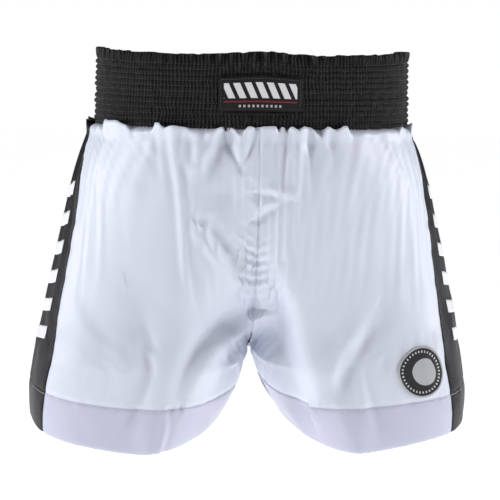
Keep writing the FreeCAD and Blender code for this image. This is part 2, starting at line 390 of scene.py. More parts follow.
arc = arc_along(worn)
normal = normals_of(worn)
signed_arc = arc * np.array([1.0, -1.0])[:, None, None]
both_drops = np.stack([drop_grid, drop_grid])
draped = worn + normal * gathers(signed_arc, both_drops, 5)[..., None]


# The coarse cloth is cut wider than the worn outline, most at the waist, and settles under its own
# weight round the body inside it, while it is lightly held to the draped shape. Part of that movement is
# kept.

GATHER_RATIO = 0.20
GATHER_REACH = 0.35
HEM_RATIO = 0.03
HOLD = 0.04
SETTLE_FRAMES = 24
BODY_GAP = 0.004
MOVEMENT_KEPT = 0.7


def widening(share):
    """How many times wider than the worn outline the cloth is cut, at a share of its length."""
    return 1.0 + GATHER_RATIO * np.exp(-share / GATHER_REACH) + HEM_RATIO


def shared_order(shared):
    """The first grid point of each shared vertex."""
    _, first = np.unique(shared, return_index=True)
    return first


def settle(grid, inside):
    mesh, shared = welded_mesh("loose_cloth", grid, CROTCH_ROW // COARSE)
    cloth = bpy.data.objects.new("loose_cloth", mesh)
    bpy.context.collection.objects.link(cloth)
    share = np.zeros(len(mesh.vertices))
    share[shared.ravel()] = np.broadcast_to(drops[::COARSE] / FULL_DROP, shared.shape).ravel()
    cloth.shape_key_add(name="worn")
    cut = cloth.shape_key_add(name="cut")
    places = np.array([v.co for v in mesh.vertices])
    places[:, :2] *= widening(share)[:, None]
    cut.data.foreach_set("co", places.ravel())
    held = cloth.vertex_groups.new(name="held")
    for vertex, down in enumerate(share):
        held.add([vertex], 1.0 if down < 0.002 else HOLD, "REPLACE")
    loose = cloth.modifiers.new("loose", "CLOTH")
    loose.settings.quality = 6
    loose.settings.mass = 0.12
    loose.settings.tension_stiffness = 20.0
    loose.settings.compression_stiffness = 20.0
    loose.settings.shear_stiffness = 5.0
    loose.settings.bending_stiffness = 0.3
    loose.settings.air_damping = 2.0
    loose.settings.vertex_group_mass = "held"
    loose.settings.pin_stiffness = 1.0
    loose.settings.rest_shape_key = cut
    loose.collision_settings.distance_min = 0.001
    body_mesh, _ = welded_mesh("body_inside", grid, CROTCH_ROW // COARSE)
    body = bpy.data.objects.new("body_inside", body_mesh)
    bpy.context.collection.objects.link(body)
    body_mesh.update()
    for vertex, place in zip(body_mesh.vertices, inside[shared_order(shared)]):
        vertex.co = place
    body.modifiers.new("firm", "COLLISION")
    body.collision.thickness_outer = 0.001
    body.collision.cloth_friction = 2.0
    scene = bpy.context.scene
    for step in range(1, SETTLE_FRAMES + 1):
        scene.frame_set(step)
    seen = cloth.evaluated_get(bpy.context.evaluated_depsgraph_get())
    settled = np.array([v.co for v in seen.data.vertices])[shared]
    scene.frame_set(1)
    for used in (mesh, body_mesh):
        bpy.data.meshes.remove(used)
    return settled


def refined(grid, factor):
    """A smooth cubic passage through the coarse points, along both ways of the grid."""
    for axis in (1, 2):
        grid = np.moveaxis(grid, axis, 0)
        before = 2 * grid[:1] - grid[1:2]
        after = 2 * grid[-1:] - grid[-2:-1]
        padded = np.concatenate([before, grid, after])
        pieces = []
        for step in range(factor):
            t = step / factor
            weights = (
                -0.5 * t + t * t - 0.5 * t**3,
                1 - 2.5 * t * t + 1.5 * t**3,
                0.5 * t + 2 * t * t - 1.5 * t**3,
                -0.5 * t * t + 0.5 * t**3,
            )
            pieces.append(sum(w * padded[k : len(grid) - 1 + k] for k, w in enumerate(weights)))
        woven = np.stack(pieces, axis=1).reshape(-1, *grid.shape[1:])
        grid = np.moveaxis(np.concatenate([woven, grid[-1:]]), 0, axis)
    return grid


coarse = draped[:, ::COARSE, ::COARSE]
inside = (worn - normal * BODY_GAP)[:, ::COARSE, ::COARSE].reshape(-1, 3)
moved = MOVEMENT_KEPT * refined(settle(coarse, inside) - coarse, COARSE)
draped = draped + moved


# Folds set on the draped cloth. Each runs along a curve through three points, given as metres
# across from the centre line and metres below the waist seam, and fades by its three strengths.

FRONT_FOLDS = (
    # gathers that reach down from the waist seam
    (((-0.034, 0.0), (-0.026, 0.016), (-0.017, 0.034)), "crease", 0.0030, 0.0040, (1.0, 0.9, 0.2)),
    (((-0.002, 0.0), (-0.009, 0.016), (-0.017, 0.034)), "crease", 0.0030, 0.0034, (1.0, 0.8, 0.2)),
    (((-0.018, 0.0), (-0.018, 0.012), (-0.017, 0.026)), "ridge", 0.0060, 0.0028, (1.0, 0.8, 0.0)),
    (((-0.035, 0.0), (-0.046, 0.020), (-0.056, 0.046)), "step", 0.0060, 0.0034, (1.0, 0.8, 0.0)),
    (((0.024, 0.0), (0.023, 0.030), (0.019, 0.068)), "crease", 0.0036, 0.0030, (1.0, 0.6, 0.0)),
    (((0.034, 0.0), (0.035, 0.030), (0.032, 0.070)), "ridge", 0.0060, 0.0022, (1.0, 0.6, 0.0)),
    (((0.045, 0.0), (0.047, 0.028), (0.048, 0.064)), "crease", 0.0036, 0.0030, (1.0, 0.6, 0.0)),
    (((0.064, 0.0), (0.068, 0.022), (0.070, 0.046)), "crease", 0.0040, 0.0020, (1.0, 0.5, 0.0)),
    (((-0.095, 0.0), (-0.094, 0.020), (-0.090, 0.050)), "crease", 0.0040, 0.0024, (1.0, 0.6, 0.0)),
    (((-0.070, 0.0), (-0.073, 0.016), (-0.077, 0.034)), "crease", 0.0034, 0.0020, (1.0, 0.5, 0.0)),
    # hollow between the legs, and the sharper folds that cross it
    (((0.0, 0.040), (-0.002, 0.120), (0.0, 0.205)), "ridge", 0.0320, -0.0085, (0.2, 1.0, 0.1)),
    (((-0.030, 0.016), (-0.034, 0.057), (-0.040, 0.096)), "ridge", 0.0180, -0.0055, (0.3, 1.0, 0.6)),
    (((-0.052, 0.088), (-0.036, 0.108), (-0.017, 0.136)), "step", 0.0060, 0.0044, (0.4, 1.0, 0.3)),
    (((0.001, 0.054), (0.014, 0.055), (0.028, 0.059)), "step", 0.0040, -0.0017, (0.6, 1.0, 0.3)),
    (((0.028, 0.059), (0.013, 0.067), (-0.002, 0.077)), "step", 0.0045, 0.0017, (0.3, 1.0, 0.6)),
    (((-0.002, 0.077), (-0.006, 0.100), (-0.007, 0.140)), "ridge", 0.0050, 0.0012, (0.6, 1.0, 0.2)),
    (((0.002, 0.118), (0.024, 0.160), (0.050, 0.250)), "step", 0.0130, -0.0052, (0.3, 1.0, 0.7)),
    # folds that the crotch pulls into the legs
    (((-0.006, 0.182), (-0.048, 0.203), (-0.068, 0.246)), "step", 0.0075, -0.0050, (1.0, 1.0, 0.2)),
    (((-0.020, 0.196), (-0.040, 0.222), (-0.052, 0.256)), "ridge", 0.0080, 0.0030, (0.4, 1.0, 0.2)),
    (((-0.022, 0.214), (-0.028, 0.235), (-0.030, 0.262)), "crease", 0.0050, 0.0024, (0.8, 0.8, 0.1)),
    (((0.006, 0.186), (0.024, 0.206), (0.036, 0.240)), "crease", 0.0060, 0.0026, (1.0, 0.8, 0.1)),
    (((0.110, 0.166), (0.087, 0.206), (0.066, 0.246)), "step", 0.0085, 0.0032, (0.1, 1.0, 0.2)),
    (((-0.120, 0.150), (-0.112, 0.200), (-0.118, 0.250)), "step", 0.0120, 0.0024, (0.1, 1.0, 0.2)),
    # the join in the hem of the wearer's right leg
    (((-0.084, 0.258), (-0.083, 0.276), (-0.088, 0.298)), "step", 0.0026, 0.0010, (0.8, 1.0, 1.0)),
)
BACK_FOLDS = (
    (((0.030, 0.0), (0.036, 0.030), (0.034, 0.070)), "crease", 0.0040, 0.0034, (1.0, 0.7, 0.0)),
    (((-0.026, 0.0), (-0.034, 0.028), (-0.036, 0.080)), "crease", 0.0040, 0.0034, (1.0, 0.7, 0.0)),
    (((0.080, 0.0), (0.086, 0.030), (0.096, 0.080)), "step", 0.0060, 0.0030, (1.0, 0.6, 0.0)),
    (((-0.078, 0.0), (-0.088, 0.034), (-0.094, 0.070)), "step", 0.0060, -0.0030, (1.0, 0.6, 0.0)),
    (((0.0, 0.110), (0.001, 0.160), (0.0, 0.215)), "ridge", 0.0240, -0.0070, (0.2, 1.0, 0.2)),
    (((0.006, 0.190), (0.046, 0.206), (0.078, 0.254)), "step", 0.0090, 0.0050, (1.0, 0.9, 0.1)),
    (((-0.006, 0.186), (-0.050, 0.212), (-0.072, 0.262)), "step", 0.0090, -0.0050, (1.0, 0.9, 0.1)),
    (((0.012, 0.170), (0.060, 0.168), (0.104, 0.196)), "step", 0.0080, 0.0030, (0.8, 1.0, 0.0)),
    (((-0.012, 0.164), (-0.064, 0.160), (-0.110, 0.180)), "step", 0.0080, -0.0030, (0.8, 1.0, 0.0)),
    (((0.120, 0.120), (0.126, 0.190), (0.116, 0.262)), "step", 0.0120, 0.0030, (0.1, 1.0, 0.3)),
)
HEM_TUCK = 0.005
HEM_RIPPLE = 0.0007
SEAM_SINK = 0.0009
FOLD_STEPS = 24


def fold_heights(folds, across, down):
    """Heights of the folds in one list, at the given places on the front or on the back."""
    height = np.zeros_like(across)
    for (first, through, last), kind, width, size, strengths in folds:
        first, through, last = (np.array(place) for place in (first, through, last))
        pull = 2 * through - (first + last) / 2
        t = np.linspace(0.0, 1.0, FOLD_STEPS + 1)[:, None]
        path = (1 - t) ** 2 * first + 2 * t * (1 - t) * pull + t * t * last
        nearest = np.full(across.shape, 9.0)
        offset = np.zeros_like(across)
        share = np.zeros_like(across)
        for step in range(FOLD_STEPS):
            (x, y), (run_x, run_y) = path[step], path[step + 1] - path[step]
            reach = np.clip(((across - x) * run_x + (down - y) * run_y) / (run_x**2 + run_y**2), 0.0, 1.0)
            off_x = across - x - reach * run_x
            off_y = down - y - reach * run_y
            away = np.hypot(off_x, off_y)
            closer = away < nearest
            nearest = np.where(closer, away, nearest)
            offset = np.where(closer, np.sign(run_x * off_y - run_y * off_x) * away, offset)
            share = np.where(closer, (step + reach) / FOLD_STEPS, share)
        strength = size * np.interp(share, (0.0, 0.5, 1.0), strengths)
        if kind == "ridge":
            height += strength * np.exp(-((nearest / width) ** 2))
        elif kind == "crease":
            height -= strength * np.exp(1 - np.sqrt(1 + (nearest / width) ** 2 * 2.5))
        else:
            height += strength * (offset / width) * np.exp(0.5 - (offset / width) ** 2 / 2)
    return height


across = worn[..., 0]
down = both_drops
stitch_line = FULL_DROP - HEM_DEPTH
front_half = np.stack([turn_grid, turn_grid]) < 0.5
front_heights = fold_heights(FRONT_FOLDS, across, down)
height = np.where(front_half, front_heights, fold_heights(BACK_FOLDS, across, down))
height += 0.0012 * waviness(51, signed_arc / 0.05 + 0.4 * waviness(52, down / 0.05), down / 0.09)
height += 0.0005 * waviness(53, signed_arc / 0.018 + waviness(54, down / 0.03), down / 0.03)
# the hem hangs inwards, rippled by its stitching, and ends in a rounded fold
below_stitches = np.maximum(0.0, down - stitch_line) / HEM_DEPTH
height -= HEM_TUCK * below_stitches**1.5
near_stitches = np.exp(-(((down - stitch_line) / 0.006) ** 2))
height += HEM_RIPPLE * near_stitches * waviness(55, signed_arc / 0.0055, down / 0.02)
height -= 0.0006 * np.exp(-(((down - stitch_line) / 0.002) ** 2))
height -= 0.001 * np.exp((down - FULL_DROP) / 0.0012)
# each seam sinks into its own narrow groove, with short puckers beside it
for seam_turn in (0.0, SIDE_PANEL_FRONT, SIDE_PANEL_BACK, 1.0):
    seam_column = int(np.argmin(np.abs(turns - seam_turn)))
    beside = arc - arc[:, seam_column : seam_column + 1]
    height -= SEAM_SINK * np.exp(-((beside / 0.0016) ** 2))
    pucker = waviness(60 + seam_column, down / 0.009 + np.abs(beside) / 0.011, down / 0.05)
    height += 0.0006 * pucker * np.exp(-((beside / 0.009) ** 2))
# short slanting puckers on both sides of the centre front seam, where its thread pulls tight
tight = np.exp(-(((down - 0.115) / 0.062) ** 4)) * front_half
slant = waviness(58, down / 0.0052 + arc / 0.010, down / 0.04 + arc / 0.02)
height += 0.0016 * tight * slant * np.exp(-((arc / 0.0105) ** 2))

# The gathered edge: puffs of cloth stand up over the foot of the band, and the raw edge goes inside it.
SCALLOP_RISE = 0.0090
SCALLOP_PUFF = 0.0034
sway = 0.5 * waviness(72, signed_arc / 0.04)
scallop = np.clip(0.35 + 0.9 * waviness(71, signed_arc / 0.0095 + sway), 0.0, 1.0)
for middle_across, half_width in ((-0.031, 0.010), (-0.009, 0.005), (0.021, 0.004), (0.043, 0.008)):
    puff = np.exp(-(((across - middle_across) / half_width) ** 4))
    scallop = np.maximum(scallop, np.where(front_half, puff, 0.0))
standing = np.exp(-(((down - 0.0034) / 0.0034) ** 2))
height += SCALLOP_PUFF * (0.5 + 0.5 * scallop) * standing
points = draped + normals_of(draped) * height[..., None]
points[..., 2] += SCALLOP_RISE * scallop * standing
edge = np.clip(1.0 - down / 0.0017, 0.0, 1.0)[..., None]
points += edge * (worn * [0.975, 0.965, 1.0] + [0.0, 0.0, 0.003] - points)
for half in (0, 1):
    points[half, 0, : CROTCH_ROW + 1, 0] = 0.0
    points[half, -1, : CROTCH_ROW + 1, 0] = 0.0

# Panels: each is a closed sheet as thick as its cloth, with the hem turned up inside as a second layer.

SATIN_THICKNESS = 0.0008
TURNED_THICKNESS = 0.0024
hem_row = ROWS - round(HEM_DEPTH / (FULL_DROP - CROTCH_DROP) * LEG_ROWS)


def make_piece(name, points, faces, material, cloth_map=None):
    mesh = bpy.data.meshes.new(name)
    mesh.from_pydata(points.tolist(), [], faces)
    if cloth_map is not None:
        layer = mesh.uv_layers.new(name="Cloth")
        corners = np.empty(len(mesh.loops), int)
        mesh.loops.foreach_get("vertex_index", corners)
        layer.data.foreach_set("uv", cloth_map[corners].ravel())
    for polygon in mesh.polygons:
        polygon.use_smooth = True
    mesh.materials.append(material)
    piece = bpy.data.objects.new(name, mesh)
    bpy.context.collection.objects.link(piece)
    return piece


def sheet_faces(columns, rows, flip):
    """Faces of a closed sheet: an outer grid, an inner grid after it, and the four edges between them."""
    outer = np.arange(columns * rows).reshape(columns, rows)
    inner = outer + columns * rows
    quads = [
        np.stack([outer[:-1, :-1], outer[:-1, 1:], outer[1:, 1:], outer[1:, :-1]], -1),
        np.stack([inner[:-1, :-1], inner[1:, :-1], inner[1:, 1:], inner[:-1, 1:]], -1),
        np.stack([outer[:-1, 0], outer[1:, 0], inner[1:, 0], inner[:-1, 0]], -1),
        np.stack([outer[:-1, -1], inner[:-1, -1], inner[1:, -1], outer[1:, -1]], -1),
        np.stack([outer[0, :-1], inner[0, :-1], inner[0, 1:], outer[0, 1:]], -1),
        np.stack([outer[-1, :-1], outer[-1, 1:], inner[-1, 1:], inner[-1, :-1]], -1),
    ]
    faces = np.concatenate([group.reshape(-1, 4) for group in quads])
    if flip:
        faces = faces[:, ::-1]
    return faces.tolist()


def sheet_piece(name, outer, inner, material, flip, cloth_map=None):
    """A closed sheet between two grids of points, with the same map on both."""
    if cloth_map is not None:
        cloth_map = np.tile(cloth_map.reshape(-1, 2), (2, 1))
    both = np.concatenate([outer.reshape(-1, 3), inner.reshape(-1, 3)])
    return make_piece(name, both, sheet_faces(*outer.shape[:2], flip), material, cloth_map)


def blend_into_leg(piece):
    """Bakes the piece's placement into its points."""
    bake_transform(piece)


def satin(name, colour, sheen, rough, hem_painted_shade=0.0, gloss=0.55):
    """Satin cloth: fine diagonal weave, soft broad gloss and a slight unevenness in both, with painted shade
    on the hem when asked.
    """
    finish = Finish(name, metallic=0.0)
    place = finish.cloth_place()
    along, down, _ = place.parts()
    thread = (along + down).wave(0.0005)
    cross = (along - down * 0.35).wave(0.0011)
    cloud = finish.noise(finish.place(), 14.0)
    crumple = finish.noise(finish.place(), 90.0)
    shade = finish.colour_mix(cloud, [c * 0.965 for c in colour], colour)
    # painted shade: below the hem stitching the colour is mixed towards a darker lavender, standing in for
    # the shade on the turned-up hem that hangs inwards
    if hem_painted_shade:
        painted_shade_below_hem = (down > FULL_DROP - HEM_DEPTH) * hem_painted_shade
        shade = finish.colour_mix(painted_shade_below_hem, shade, (0.44, 0.44, 0.60))
    finish.set({
        "Base Color": shade,
        "Roughness": rough + cloud * 0.08 + thread * 0.01,
        "Normal": finish.bump(thread * 0.5 + cross * 0.3 + crumple * 3.0, 0.35, 0.0001),
        "Sheen Weight": sheen,
        "Sheen Roughness": 0.4,
        "Specular IOR Level": gloss,
    })
    return finish.material


# the white satin's last value is how strongly its hem gets painted shade
white_satin = satin("white_satin", (0.70, 0.735, 0.85), 0.1, 0.34, 0.6)
black_satin = satin("black_satin", (0.006, 0.0065, 0.010), 0.0, 0.36, gloss=0.28)

normal = normals_of(points)
thickness = np.where(np.arange(ROWS + 1) >= hem_row, TURNED_THICKNESS, SATIN_THICKNESS)[:, None]
PANELS = {
    "front": (0, FRONT_COLUMNS),
    "side": (FRONT_COLUMNS, FRONT_COLUMNS + SIDE_COLUMNS),
    "back": (FRONT_COLUMNS + SIDE_COLUMNS, 2 * FRONT_COLUMNS + SIDE_COLUMNS),
}
panel_pieces = {}
for half, side in enumerate(("left", "right")):
    for panel, (first, last) in PANELS.items():
        outer = points[half, first : last + 1]
        inner = outer - normal[half, first : last + 1] * thickness
        cloth_map = np.stack([arc[half, first : last + 1], both_drops[half, first : last + 1]], -1)
        material = black_satin if panel == "side" else white_satin
        name = side + "_" + panel + "_panel"
        piece = sheet_piece(name, outer, inner, material, side == "right", cloth_map)
        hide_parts(name + "_seat", name + "_leg")
        blend_into_leg(piece)
        panel_pieces[side, panel] = piece


def on_cloth(half, turn, drop, lift=0.0):
    """Points on the outside of the cloth, raised by lift, with the outward direction at each."""
    column = np.clip(np.interp(turn, turns, np.arange(len(turns))), 0, len(turns) - 1.001)
    row = np.clip(np.interp(drop, drops, np.arange(len(drops))), 0, len(drops) - 1.001)
    i, j = column.astype(int), row.astype(int)
    u, v = (column - i)[..., None], (row - j)[..., None]

    def between(grid):
        upper = grid[half, i, j] * (1 - u) + grid[half, i + 1, j] * u
        lower = grid[half, i, j + 1] * (1 - u) + grid[half, i + 1, j + 1] * u
        return upper * (1 - v) + lower * v

    outwards = between(normal)
    outwards = outwards / np.linalg.norm(outwards, axis=-1, keepdims=True)
    return between(points) + outwards * lift, outwards


# Hem stitching: one line of white lockstitch round each leg opening, through both layers of the hem.

STITCH_LENGTH = 0.003
STITCH_PITCH = 0.0037
THREAD_WIDTH = 0.00055
HEM_STITCH_RISE = 0.002
HEM_PATH_POINTS = 420


def stitch_run(path, outwards, length, pitch, width):
    """Short threads along a path, each one thick in its middle and sunk at both ends."""
    steps = np.linalg.norm(np.diff(path, axis=0), axis=1)
    along = np.concatenate([[0.0], np.cumsum(steps)])
    count = int(along[-1] / pitch)
    centres = (np.arange(count) + 0.5) * along[-1] / count
    offsets = np.linspace(-0.5, 0.5, 5) * length
    fullness = np.array([0.3, 0.85, 1.0, 0.85, 0.3])
    places = centres[:, None] + offsets
    centre = np.stack([np.interp(places, along, path[:, k]) for k in range(3)], -1)
    out = np.stack([np.interp(places, along, outwards[:, k]) for k in range(3)], -1)
    forward = centre[:, -1:] - centre[:, :1]
    forward = forward / np.linalg.norm(forward, axis=-1, keepdims=True)
    sideways = np.cross(forward, out)
    angles = np.arange(6) * np.pi / 3
    ring = np.cos(angles)[:, None] * sideways[..., None, :]
    ring = ring + 0.8 * np.sin(angles)[:, None] * out[..., None, :]
    raised = centre + out * (fullness * width * 0.3)[:, None]
    points = raised[..., None, :] + ring * (fullness * width / 2)[:, None, None]
    faces = []
    for first in range(0, count * 30, 30):
        for near in range(first, first + 24, 6):
            for c in range(6):
                d = (c + 1) % 6
                faces.append([near + c, near + d, near + 6 + d, near + 6 + c])
        faces.append([first + 5 - c for c in range(6)])
        faces.append([first + 24 + c for c in range(6)])
    return points.reshape(-1, 3), faces


def thread(name, colour):
    """Polyester thread: twisted strands that catch a little light."""
    finish = Finish(name)
    x, y, z = finish.place().parts()
    twist = (x + y + z * 1.7).wave(0.0006)
    tint = finish.colour_mix(twist * 0.5 + 0.5, [c * 0.85 for c in colour], colour)
    finish.set({"Base Color": tint, "Roughness": 0.5 + twist * 0.05, "Sheen Weight": 0.2})
    finish.set({"Normal": finish.bump(twist, 0.4, 0.0001)})
    return finish.material


white_thread = thread("white_thread", (0.82, 0.83, 0.88))
black_thread = thread("black_thread", (0.02, 0.02, 0.023))
for half, side in enumerate(("left", "right")):
    stitch_turns = np.linspace(0.0, 1.0, HEM_PATH_POINTS)
    stitch_drops = np.full(HEM_PATH_POINTS, FULL_DROP - HEM_DEPTH + HEM_STITCH_RISE)
    path, outwards = on_cloth(half, stitch_turns, stitch_drops, 0.0001)
    stitched = make_piece(
        side + "_hem_thread",
        *stitch_run(path, outwards, STITCH_LENGTH, STITCH_PITCH, THREAD_WIDTH),
        white_thread,
    )
    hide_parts(side + "_hem_stitching")
    blend_into_leg(stitched)

# Overlocked seam allowances: inside, at each seam, the two cut edges are trimmed together, bound with
# looped white thread and pressed to one side.

OVERLOCK_WIDTH = 0.0065
OVERLOCK_THICKNESS = 0.0012
FIRST_BOUND_ROW = 5

overlock_finish = Finish("overlock_thread")
_, loops_down, _ = overlock_finish.cloth_place().parts()
loops = loops_down.wave(0.0022)
overlock_finish.set({
    "Base Color": overlock_finish.colour_mix(loops * 0.5 + 0.5, (0.62, 0.63, 0.68), (0.84, 0.85, 0.88)),
    "Roughness": 0.75 + loops * 0.05,
    "Normal": overlock_finish.bump(loops, 0.6, 0.0004),
})


def overlock(name, half, turn_at, way, first_row, last_row, nodes):
    """A ribbon inside the cloth, beside the seam at one turn, from one row of the cloth to another."""
    seam = int(np.argmin(np.abs(turns - turn_at)))
    rows = np.arange(first_row, last_row + 1)
    down = drops[rows]
    pitch = np.linalg.norm(points[half, seam, rows] - points[half, seam + way, rows], axis=-1)
    pitch = np.maximum(pitch, np.median(pitch))
    share = np.linspace(0.02, 1.0, 5)[:, None]
    turn = turns[seam] + (turns[seam + way] - turns[seam]) * share * OVERLOCK_WIDTH / pitch
    outer, outwards = on_cloth(half, turn, np.broadcast_to(down, turn.shape), -SATIN_THICKNESS - 0.0002)
    swell = 0.6 + 0.4 * np.sin(down * 2 * np.pi / 0.0044)
    inner = outer - outwards * (OVERLOCK_THICKNESS * swell)[:, None]
    cloth_map = np.stack(np.broadcast_arrays(share * OVERLOCK_WIDTH, down), -1)
    flip = (half == 1) != (way < 0)
    piece = sheet_piece(name + "_binding", outer, inner, overlock_finish.material, flip, cloth_map)
    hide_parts(*nodes)
    return piece


for half, side in enumerate(("left", "right")):
    for seam, turn_at, way in (("front_side", SIDE_PANEL_FRONT, 1), ("back_side", SIDE_PANEL_BACK, -1)):
        name = side + "_" + seam + "_overlock"
        nodes = (name + "_seat", name + "_leg")
        binding = overlock(name, half, turn_at, way, FIRST_BOUND_ROW, hem_row - 1, nodes)
        blend_into_leg(binding)
    name = side + "_inseam_overlock"
    blend_into_leg(overlock(name, half, 0.0, 1, CROTCH_ROW + 1, hem_row - 1, (name,)))
for name, turn_at, way in (("centre_front_overlock", 0.0, 1), ("centre_back_overlock", 1.0, -1)):
    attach(overlock(name, 0, turn_at, way, FIRST_BOUND_ROW, CROTCH_ROW - 1, (name,)), "seat")

# Waistband: one strip of black satin folded over a wide elastic, with a free ruffled header on top. The
# stretched elastic was stitched through in many rows, so that it shirrs the cover into puffed channels.

BAND_COLUMNS = 1100
BAND_SIZE_AT_RIM = 0.958
BAND_SIZE_AT_FOOT = 0.972
CHANNEL_PUFF = 0.0013
PLEAT_PITCH = 0.0036
PLEAT_SIZE = 0.00105
HEADER_RUFFLE = 0.0017
RIM_SCALLOP = 0.0009
DEEP_GROOVE_Z = -0.0412
COVER_DEPTH = 0.0036
HEADER_THICKNESS = 0.0018
CHANNEL_ROWS = 5
label_low, label_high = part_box("front_label")
label_width = label_high.x - label_low.x
row_names = sorted(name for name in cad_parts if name.startswith("waistband_shirring"))
row_heights = np.array([sum((corner.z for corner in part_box(name))) / 2 for name in row_names])


def band_walk(count):
    """Evenly spaced directions round the waist from the back centre: along, place on the oval, outwards."""
    angle = np.linspace(-np.pi, np.pi, 4001)
    oval = np.stack([WAIST_HALF_WIDTH * np.sin(angle), -WAIST_HALF_DEPTH * np.cos(angle)], -1)
    along = np.concatenate([[0.0], np.cumsum(np.linalg.norm(np.diff(oval, axis=0), axis=1))])
    even = np.arange(count) / count * along[-1]
    angle = np.interp(even, along, angle)
    place = np.stack([WAIST_HALF_WIDTH * np.sin(angle), -WAIST_HALF_DEPTH * np.cos(angle), 0 * angle], -1)
    out = np.stack([np.sin(angle) / WAIST_HALF_WIDTH, -np.cos(angle) / WAIST_HALF_DEPTH, 0 * angle], -1)
    return even - along[-1] / 2, place, out / np.linalg.norm(out, axis=-1, keepdims=True)


def band_point(walk, z, lift):
    """Points at one height of the band, raised by lift from its smooth outside."""
    along, place, out = walk
    size = BAND_SIZE_AT_FOOT + (BAND_SIZE_AT_RIM - BAND_SIZE_AT_FOOT) * (1.0 - z / WAIST_Z)
    side_on = np.abs(place[:, 0] / WAIST_HALF_WIDTH)
    front_dip = 0.0045 * (1 - side_on**4) - 0.0035 * np.exp(-((along / 0.024) ** 2))
    dip = np.where(place[:, 1] < 0, front_dip, 0.011 * (1 - side_on**3))
    scallop = RIM_SCALLOP * waviness(33, along / 0.0055) * max(0.0, 1.0 + z / 0.008)
    settled = z - dip * (1.0 - z / WAIST_Z) ** 1.5 + scallop
    point = place * np.reshape(size, (-1, 1)) * [1.0, 1.0, 0.0] + out * np.reshape(lift, (-1, 1))
    point[:, 2] = settled
    return point


def pleats(along, z, size):
    """The fine upright gathers between the rows of stitching."""
    drift = 1.6 * waviness(21, along / 0.011, z / 0.012) + 0.9 * waviness(22, along / 0.03, z / 0.004)
    fine = np.sin(2 * np.pi * along / PLEAT_PITCH + drift)
    return size * (fine + 0.7 * waviness(23, along / 0.0042, z / 0.007))


def cover_lift(along, z):
    """How far the outside of the cover stands from the band's smooth outside at one height."""
    between = np.interp(-z, -row_heights, np.arange(len(row_heights)))
    in_channel = np.abs(np.sin(np.pi * between)) ** 0.7
    if z > row_heights[0]:
        share = (z - row_heights[0]) / -row_heights[0]
        folds = np.sin(2 * np.pi * along / 0.0105 + 3.0 * waviness(32, along / 0.04))
        ruffle = waviness(31, along / 0.0065, z / 0.02) + 0.6 * folds
        puff = CHANNEL_PUFF * 0.6 * math.sin(math.pi * share) ** 0.5
        return pleats(along, z, PLEAT_SIZE) + HEADER_RUFFLE * share**0.7 * ruffle + puff
    if z < row_heights[-1]:
        share = (row_heights[-1] - z) / (row_heights[-1] - WAIST_Z)
        puff = CHANNEL_PUFF * math.sin(math.pi * share) ** 0.7
        return pleats(along, z, PLEAT_SIZE) + puff - 0.0012 * share
    puff = CHANNEL_PUFF * (1.0 + 0.45 * waviness(24, along / 0.006, np.floor(between) * 3.7))
    deep_groove = 0.0008 * math.exp(-(((z - DEEP_GROOVE_Z) / 0.0022) ** 2))
    lift = pleats(along, z, PLEAT_SIZE * (0.6 + 0.4 * in_channel)) + puff * in_channel - deep_groove
    beside_label = label_low.z - 0.001 < z < label_high.z + 0.001
    under_label = (np.abs(along) < label_width / 2 + 0.001) & beside_label
    return np.where(under_label, 0.3 * lift, lift)


walk = band_walk(BAND_COLUMNS)
along = walk[0]
heights = list(np.linspace(0.0, row_heights[0], 9)[:-1])
for upper, lower in zip(row_heights[:-1], row_heights[1:]):
    heights += list(np.linspace(upper, lower, CHANNEL_ROWS + 1)[:-1])
heights += list(np.linspace(row_heights[-1], WAIST_Z, 5))
outside = [band_point(walk, z, cover_lift(along, z) - 0.001) for z in heights]
inside_rows = []
for z in np.linspace(WAIST_Z, -0.0006, 15):
    into = HEADER_THICKNESS if z > row_heights[0] else COVER_DEPTH
    ruffle = cover_lift(along, z) if z > row_heights[0] else 0.4 * pleats(along, z, PLEAT_SIZE)
    inside_rows.append(band_point(walk, z, ruffle - 0.001 - into))


def ring_piece(name, walk, sections, material, swapped=False):
    """A closed ring through its sections, mapped by metres along the band and height, or swapped."""
    rows = np.stack(sections, axis=1)
    index = np.arange(rows.shape[0] * rows.shape[1]).reshape(rows.shape[:2])
    right = np.roll(index, -1, axis=0)
    faces = np.stack([index, np.roll(index, -1, axis=1), np.roll(right, -1, axis=1), right], -1)
    ring_map = np.stack(np.broadcast_arrays(walk[0][:, None], rows[..., 2]), -1).reshape(-1, 2)
    if swapped:
        ring_map = ring_map[:, ::-1]
    return make_piece(name, rows.reshape(-1, 3), faces.reshape(-1, 4).tolist(), material, ring_map)


band_satin = satin("band_satin", (0.006, 0.006, 0.0075), 0.0, 0.46, gloss=0.3)
cover = ring_piece("waistband_cover_shirred", walk, outside + inside_rows, band_satin)
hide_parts("waistband_cover")
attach(cover, "seat")

# Elastic: one wide woven band inside the cover, ribbed along its length.

ELASTIC_COLUMNS = 360
RIB_PITCH = 0.0028
elastic_walk = band_walk(ELASTIC_COLUMNS)
elastic_low, elastic_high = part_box("waistband_elastic")
elastic_outer = []
elastic_inner = []
for z in np.linspace(elastic_high.z, elastic_low.z, 45):
    rib = 0.0001 * math.cos(2 * math.pi * z / RIB_PITCH)
    elastic_outer.append(band_point(elastic_walk, z, np.full(ELASTIC_COLUMNS, -0.0023 + rib)))
    elastic_inner.insert(0, band_point(elastic_walk, z, np.full(ELASTIC_COLUMNS, -0.0033 - rib)))
elastic_finish = Finish("woven_elastic")
elastic_along, elastic_up, _ = elastic_finish.cloth_place().parts()
ribs = elastic_up.wave(RIB_PITCH)
picks = elastic_along.wave(0.0009)
elastic_finish.set({
    "Base Color": elastic_finish.colour_mix(ribs * 0.5 + 0.5, (0.58, 0.57, 0.55), (0.76, 0.75, 0.73)),
    "Roughness": 0.7 + picks * 0.05,
    "Normal": elastic_finish.bump(ribs + picks * 0.4, 0.5, 0.0002),
})
elastic_sections = elastic_outer + elastic_inner
